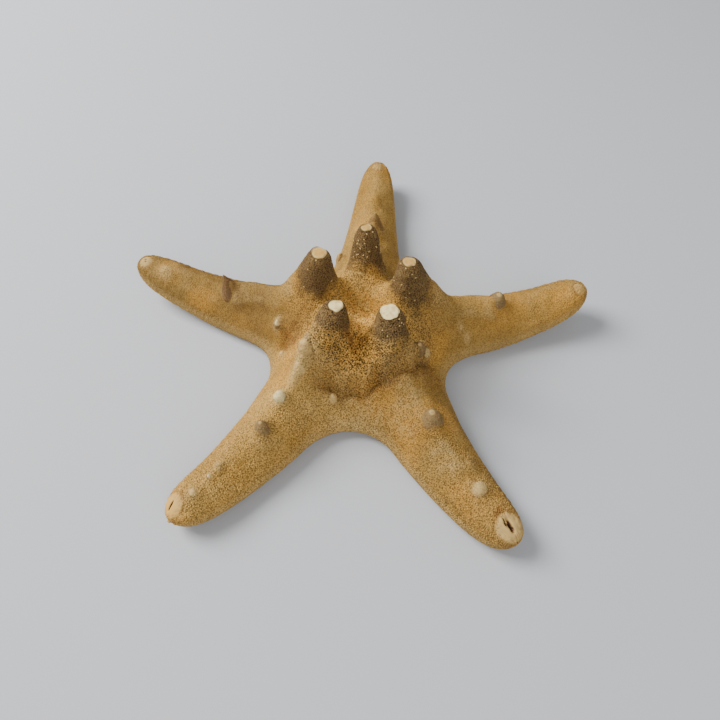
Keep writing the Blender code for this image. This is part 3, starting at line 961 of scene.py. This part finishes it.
def build_granules(skin, horns, knobs):
    """Granules all over the skin, as joined low domes, one piece for each fifth of the star.

    Below, they are larger and flattened onto the rest plane.
    """
    chance = np.random.default_rng(5)
    found, spacing, collar, specks = granule_places(skin, horns, knobs, chance)
    place, normal, tone = found[:, :3], found[:, 3:6], found[:, 6:9]
    gap, upper = found[:, 9], found[:, 10] > 0.5
    faces = closed_faces(2, 5)
    shape = turned_shape((1.0, 0.8), (-0.8, -0.8, 0.5, 1.0), 5)
    first, second = tangents(normal, chance)
    number = len(place)
    speck = collar & (chance.random(number) < specks)
    radius = 0.64 * spacing * (0.9 + 0.2 * chance.random(number))
    long = 1.0 + 0.18 * chance.random(number)
    height = np.where(upper, GRANULE_ABOVE, GRANULE_BELOW) * MM * (0.85 + 0.4 * chance.random(number))
    height = np.where(collar & ~speck, GRANULE_COLLAR * MM, height)
    ragged = 1.0 + 0.12 * chance.normal(size=(number, len(shape), 1))
    local = shape[None] * np.stack([radius * long, radius / long, height], axis=-1)[:, None]
    local[:, :, :2] *= ragged
    points = placed(local, place, first, second, normal)
    points[:, :, 2] = np.maximum(points[:, :, 2], 0.01 * MM)
    darker = 0.12 * np.abs(chance.normal(size=number)) * (1.0 - 0.5 * collar)
    patchy = 1.0 + 0.07 * noise(place, 3.0 * MM, 22) - darker
    colour = mixed(tone, PALE, np.where(collar, 0.04, 0.20 * np.maximum(gap - 0.40, 0.0))) * patchy[:, None]
    colour = np.where(speck[:, None], NAMED["dust"], np.clip(colour, 0.0, 1.0))
    angle = np.degrees(np.arctan2(place[:, 1] - DISC_CENTRE[1], place[:, 0] - DISC_CENTRE[0]))
    off = np.stack([np.abs((angle - arm["azimuth"] + 180.0) % 360.0 - 180.0) for arm in ARMS])
    nearest = np.argmin(off, axis=0)
    gap = np.where(speck, 0.0, np.where(collar, 0.45, gap))
    return [joined("granules_" + arm["name"], points[nearest == index], faces, colour[nearest == index],
                   gap[nearest == index]) for index, arm in enumerate(ARMS)]


def knob_tone(knob, local, up):
    """Colour of a crisp knob: stained, browner at its root, and pale at the tip of a grey one.

    A white one has no stains and is grey lower down.
    """
    white = knob["finish"] == "white"
    base = np.broadcast_to(NAMED[knob["finish"]], local.shape)
    stain = ease(0.5 + 0.8 * noise(local, 1.1 * MM, 82))
    base = mixed(base, BROWN, 0.35 * stain * (not white))
    base = mixed(base, NAMED["grey"], ease((0.62 - up) / 0.2) * white)
    base = mixed(base, BROWN, 0.3 * ease((0.35 - up) / 0.3))
    return mixed(base, NAMED["cream"], ease((up - 0.955) / 0.03) * (knob["finish"] == "grey"))


def build_knobs(feet):
    """Crisp knobs and spikes on their swellings, as turned profiles with a lean, in one piece.

    At height h, from 0 at the root to 1 at the tip, the width is (1 - h ** p) ** q and the lean
    grows as h squared. Noise roughens the surface.
    """
    level = np.sin(np.linspace(0.0, 0.94, KNOB_RINGS) * np.pi / 2.0)
    heights = np.concatenate([[0.0], level, [1.0]])
    points, colours, bare = [], [], []
    for foot, knob in zip(feet, KNOBS):
        if not knob["crisp"]:
            continue
        shape = turned_shape((1.0 - level ** knob["p"]) ** knob["q"], heights, KNOB_SIDES)
        up = shape[:, 2]
        lean = np.array(knob["lean"]) * MM
        local = np.empty_like(shape)
        middle = np.array(knob["at"]) * MM
        local[:, :2] = shape[:, :2] * knob["crisp"] * MM + middle + up[:, None] ** 2 * lean
        local[:, 2] = foot - 1.0 * MM + up * (knob["height"] + 1.0) * MM
        rough = 0.17 * MM * noise(local, 0.9 * MM, 81) * (1.0 - up ** 8)
        local[:, :2] += shape[:, :2] * rough[:, None]
        points.append(local + DISC_CENTRE)
        colours.append(knob_tone(knob, local, up))
        bare.append(up > (0.45 if knob["finish"] == "white" else 0.80))
    faces = closed_faces(KNOB_RINGS, KNOB_SIDES)
    every = np.concatenate([faces + k * len(points[0]) for k in range(len(points))])
    points = np.concatenate(points)
    number = len(points)
    values = {"gap": np.full(number, 0.25), "upper": np.ones(number), "horn": np.zeros(number),
              "bare": np.concatenate(bare).astype(float)}
    return new_piece("knobs", points, every, np.concatenate(colours), values)


def build_spines():
    """Blunt spines that lean over the edges of the grooves underneath and around the mouth."""
    chance = np.random.default_rng(8)
    place, toward = [], []
    for arm in ARMS:
        turn = np.radians(arm["azimuth"])
        ahead = np.array([np.cos(turn), np.sin(turn), 0.0])
        across = np.array([-np.sin(turn), np.cos(turn), 0.0])
        a = np.arange(6.5 * MM, 0.90 * arm["reach"], 1.05 * MM)
        x = a / arm["reach"]
        lift, bow = rise_and_bow(arm, x, NOTCHES[0])
        for side in (-1.0, 1.0):
            b = side * GROOVE_HALF_WIDTH * (1.0 - 0.45 * x) * 1.02 + bow
            z = lift + GROOVE_DEPTH * (1.0 - 0.45 * x) * 0.37 + SOLE_HEIGHT
            place.append(a[:, None] * ahead + b[:, None] * across + z[:, None] * np.array([0.0, 0.0, 1.0]))
            toward.append(np.broadcast_to(-side * across + np.array([0.0, 0.0, -0.45]), (len(a), 3)))
        edge = turn + np.radians(36.0 + 9.0 * np.array([-1.5, -0.5, 0.5, 1.5]))
        ring = np.stack([np.cos(edge), np.sin(edge), np.zeros(4)], axis=-1)
        place.append(ring * 5.6 * MM + np.array([0.0, 0.0, 1.6 * MM]))
        toward.append(-ring + np.array([0.0, 0.0, -0.25]))
    place = np.concatenate(place) + DISC_CENTRE
    toward = np.concatenate(toward) + 0.12 * chance.normal(size=place.shape)
    toward /= np.linalg.norm(toward, axis=1, keepdims=True)
    number = len(place)
    shape = turned_shape((1.0, 1.0, 0.75), (-0.3, -0.3, 0.55, 0.9, 1.0), 6)
    first, second = tangents(toward, chance)
    width = 0.34 * MM * (0.85 + 0.3 * chance.random(number))
    length = 1.9 * MM * (0.85 + 0.3 * chance.random(number))
    local = shape[None] * np.stack([width, 0.8 * width, length], axis=-1)[:, None]
    points = placed(local, place, first, second, toward)
    points[:, :, 2] = np.maximum(points[:, :, 2], 0.05 * MM)
    colour = mixed(TAN, PALE, 0.5 + 0.4 * chance.random(number))
    return joined("groove_spines", points, closed_faces(3, 6), colour, np.zeros(number))


def shader_of(name, roughness, specular=0.5):
    """A new material, its node tree and its Principled shader."""
    material = bpy.data.materials.new(name)
    material.use_nodes = True
    shader = material.node_tree.nodes["Principled BSDF"]
    shader.inputs["Roughness"].default_value = roughness
    shader.inputs["Specular IOR Level"].default_value = specular
    return material, material.node_tree, shader


def own(tree, name):
    """The piece's own attribute of that name, as an attribute node's outputs."""
    return add(tree, "ShaderNodeAttribute", attribute_name=name).outputs


def add(tree, kind, links=(), **values):
    """Add a node, set its properties, and feed its inputs from sockets or plain values."""
    node = tree.nodes.new(kind)
    for key, value in values.items():
        setattr(node, key, value)
    for key, source in links:
        if isinstance(source, bpy.types.NodeSocket):
            tree.links.new(source, node.inputs[key])
        else:
            node.inputs[key].default_value = source
    return node


def pored(tree, coordinates, tone):
    """The tone with dark pores, small spots around the seeds of a cellular pattern: painted shade in
    pits that the mesh does not cut.
    """
    gap = own(tree, "gap")["Fac"]
    cells = add(tree, "ShaderNodeTexVoronoi", [("Vector", coordinates), ("Scale", PORES)])
    spot = add(tree, "ShaderNodeMapRange", [("Value", cells.outputs["Distance"]), ("From Min", 0.30),
                                            ("From Max", 0.54), ("To Min", 1.0), ("To Max", 0.0)])
    share = add(tree, "ShaderNodeMath", [(0, gap), (1, spot.outputs["Result"])], operation="MULTIPLY")
    return add(tree, "ShaderNodeMix", [("Factor", share.outputs[0]), ("A", tone), ("B", PORE_TONE)],
               data_type="RGBA").outputs["Result"]


def skin_finish():
    """Skin between the granules: its own tone, darkened in the gaps, partly as its own darker colour
    and partly as painted shade between the granules, with pores.
    """
    material, tree, shader = shader_of("dried_skin_between", 0.92, 0.2)
    coordinates = add(tree, "ShaderNodeTexCoord").outputs["Object"]
    tone = own(tree, "tone")["Color"]
    gap = own(tree, "gap")["Fac"]
    # Darker in the gaps: partly the skin's own darker colour, partly painted shade between granules.
    share = add(tree, "ShaderNodeMath", [(0, gap), (1, 0.55)], operation="MULTIPLY")
    dark = add(tree, "ShaderNodeMix", [("Factor", share.outputs[0]), ("A", tone), ("B", PORE_TONE)],
               data_type="RGBA")
    colour = pored(tree, coordinates, dark.outputs["Result"])
    tree.links.new(colour, shader.inputs["Base Color"])
    grain = add(tree, "ShaderNodeTexNoise", [("Vector", coordinates), ("Scale", 3200.0), ("Detail", 2.0)])
    bump = add(tree, "ShaderNodeBump", [("Height", grain.outputs["Fac"]), ("Strength", 0.5),
                                        ("Distance", 0.00008)])
    tree.links.new(bump.outputs["Normal"], shader.inputs["Normal"])
    return material


def granule_finish():
    """Dry chalky granules: each one's own tone, with a fine mottle and the pores between them,
    painted as shade in pits.
    """
    material, tree, shader = shader_of("granules", 0.92, 0.15)
    coordinates = add(tree, "ShaderNodeTexCoord").outputs["Object"]
    tone = own(tree, "tone")["Color"]
    mottle = add(tree, "ShaderNodeTexNoise", [("Vector", coordinates), ("Scale", 2200.0), ("Detail", 2.0)])
    value = add(tree, "ShaderNodeMapRange", [("Value", mottle.outputs["Fac"]), ("From Min", 0.3),
                                             ("From Max", 0.7), ("To Min", 0.82), ("To Max", 1.12)])
    shade = add(tree, "ShaderNodeMix", [("Factor", 1.0), ("A", tone), ("B", value.outputs["Result"])],
                data_type="RGBA", blend_type="MULTIPLY")
    tree.links.new(pored(tree, coordinates, shade.outputs["Result"]), shader.inputs["Base Color"])
    return material


def floor_finish():
    """Plain pale floor."""
    material, _, shader = shader_of("pale_floor", 0.9)
    shader.inputs["Base Color"].default_value = FLOOR_TONE
    return material


def build_stage():
    """Plain pale floor, a soft key light from behind on the left, a fill and the camera."""
    bpy.ops.mesh.primitive_plane_add(size=6.0)
    floor = bpy.context.object
    floor.name = "floor"
    floor.data.materials.append(floor_finish())
    for name, place, size, power in LIGHTS:
        light = bpy.data.lights.new(name, "AREA")
        light.size = size
        light.energy = power
        lamp = bpy.data.objects.new(name, light)
        bpy.context.scene.collection.objects.link(lamp)
        lamp.location = place
        direction = -lamp.location
        lamp.rotation_euler = direction.to_track_quat("-Z", "Y").to_euler()
    world = bpy.data.worlds.new("studio")
    world.use_nodes = True
    world.node_tree.nodes["Background"].inputs["Color"].default_value = WORLD_TONE
    world.node_tree.nodes["Background"].inputs["Strength"].default_value = WORLD_STRENGTH
    bpy.context.scene.world = world
    camera = bpy.data.cameras.new("camera")
    camera.lens = LENS
    camera.sensor_width = SENSOR
    camera.clip_start = 0.005
    holder = bpy.data.objects.new("camera", camera)
    bpy.context.scene.collection.objects.link(holder)
    holder.location = np.array(CAMERA_AT) + DISC_CENTRE
    holder.rotation_euler = (np.radians(90.0 - CAMERA_DOWN), 0.0, 0.0)
    bpy.context.scene.camera = holder


def dress(piece, material):
    """Give a piece its finish and its body."""
    piece.data.materials.append(material)
    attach(piece, "root")


build_stage()
star_skin, star_ground, knob_feet = build_skin()
star_horns = build_horns(star_ground)
star_knobs = build_knobs(knob_feet)
skin_material = skin_finish()
dress(star_skin, skin_material)
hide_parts("starfish")
dress(star_horns, skin_material)
dress(star_knobs, skin_material)
chalky = granule_finish()
dress(build_spines(), chalky)
for granule_piece in build_granules(star_skin, star_horns, star_knobs):
    dress(granule_piece, chalky)
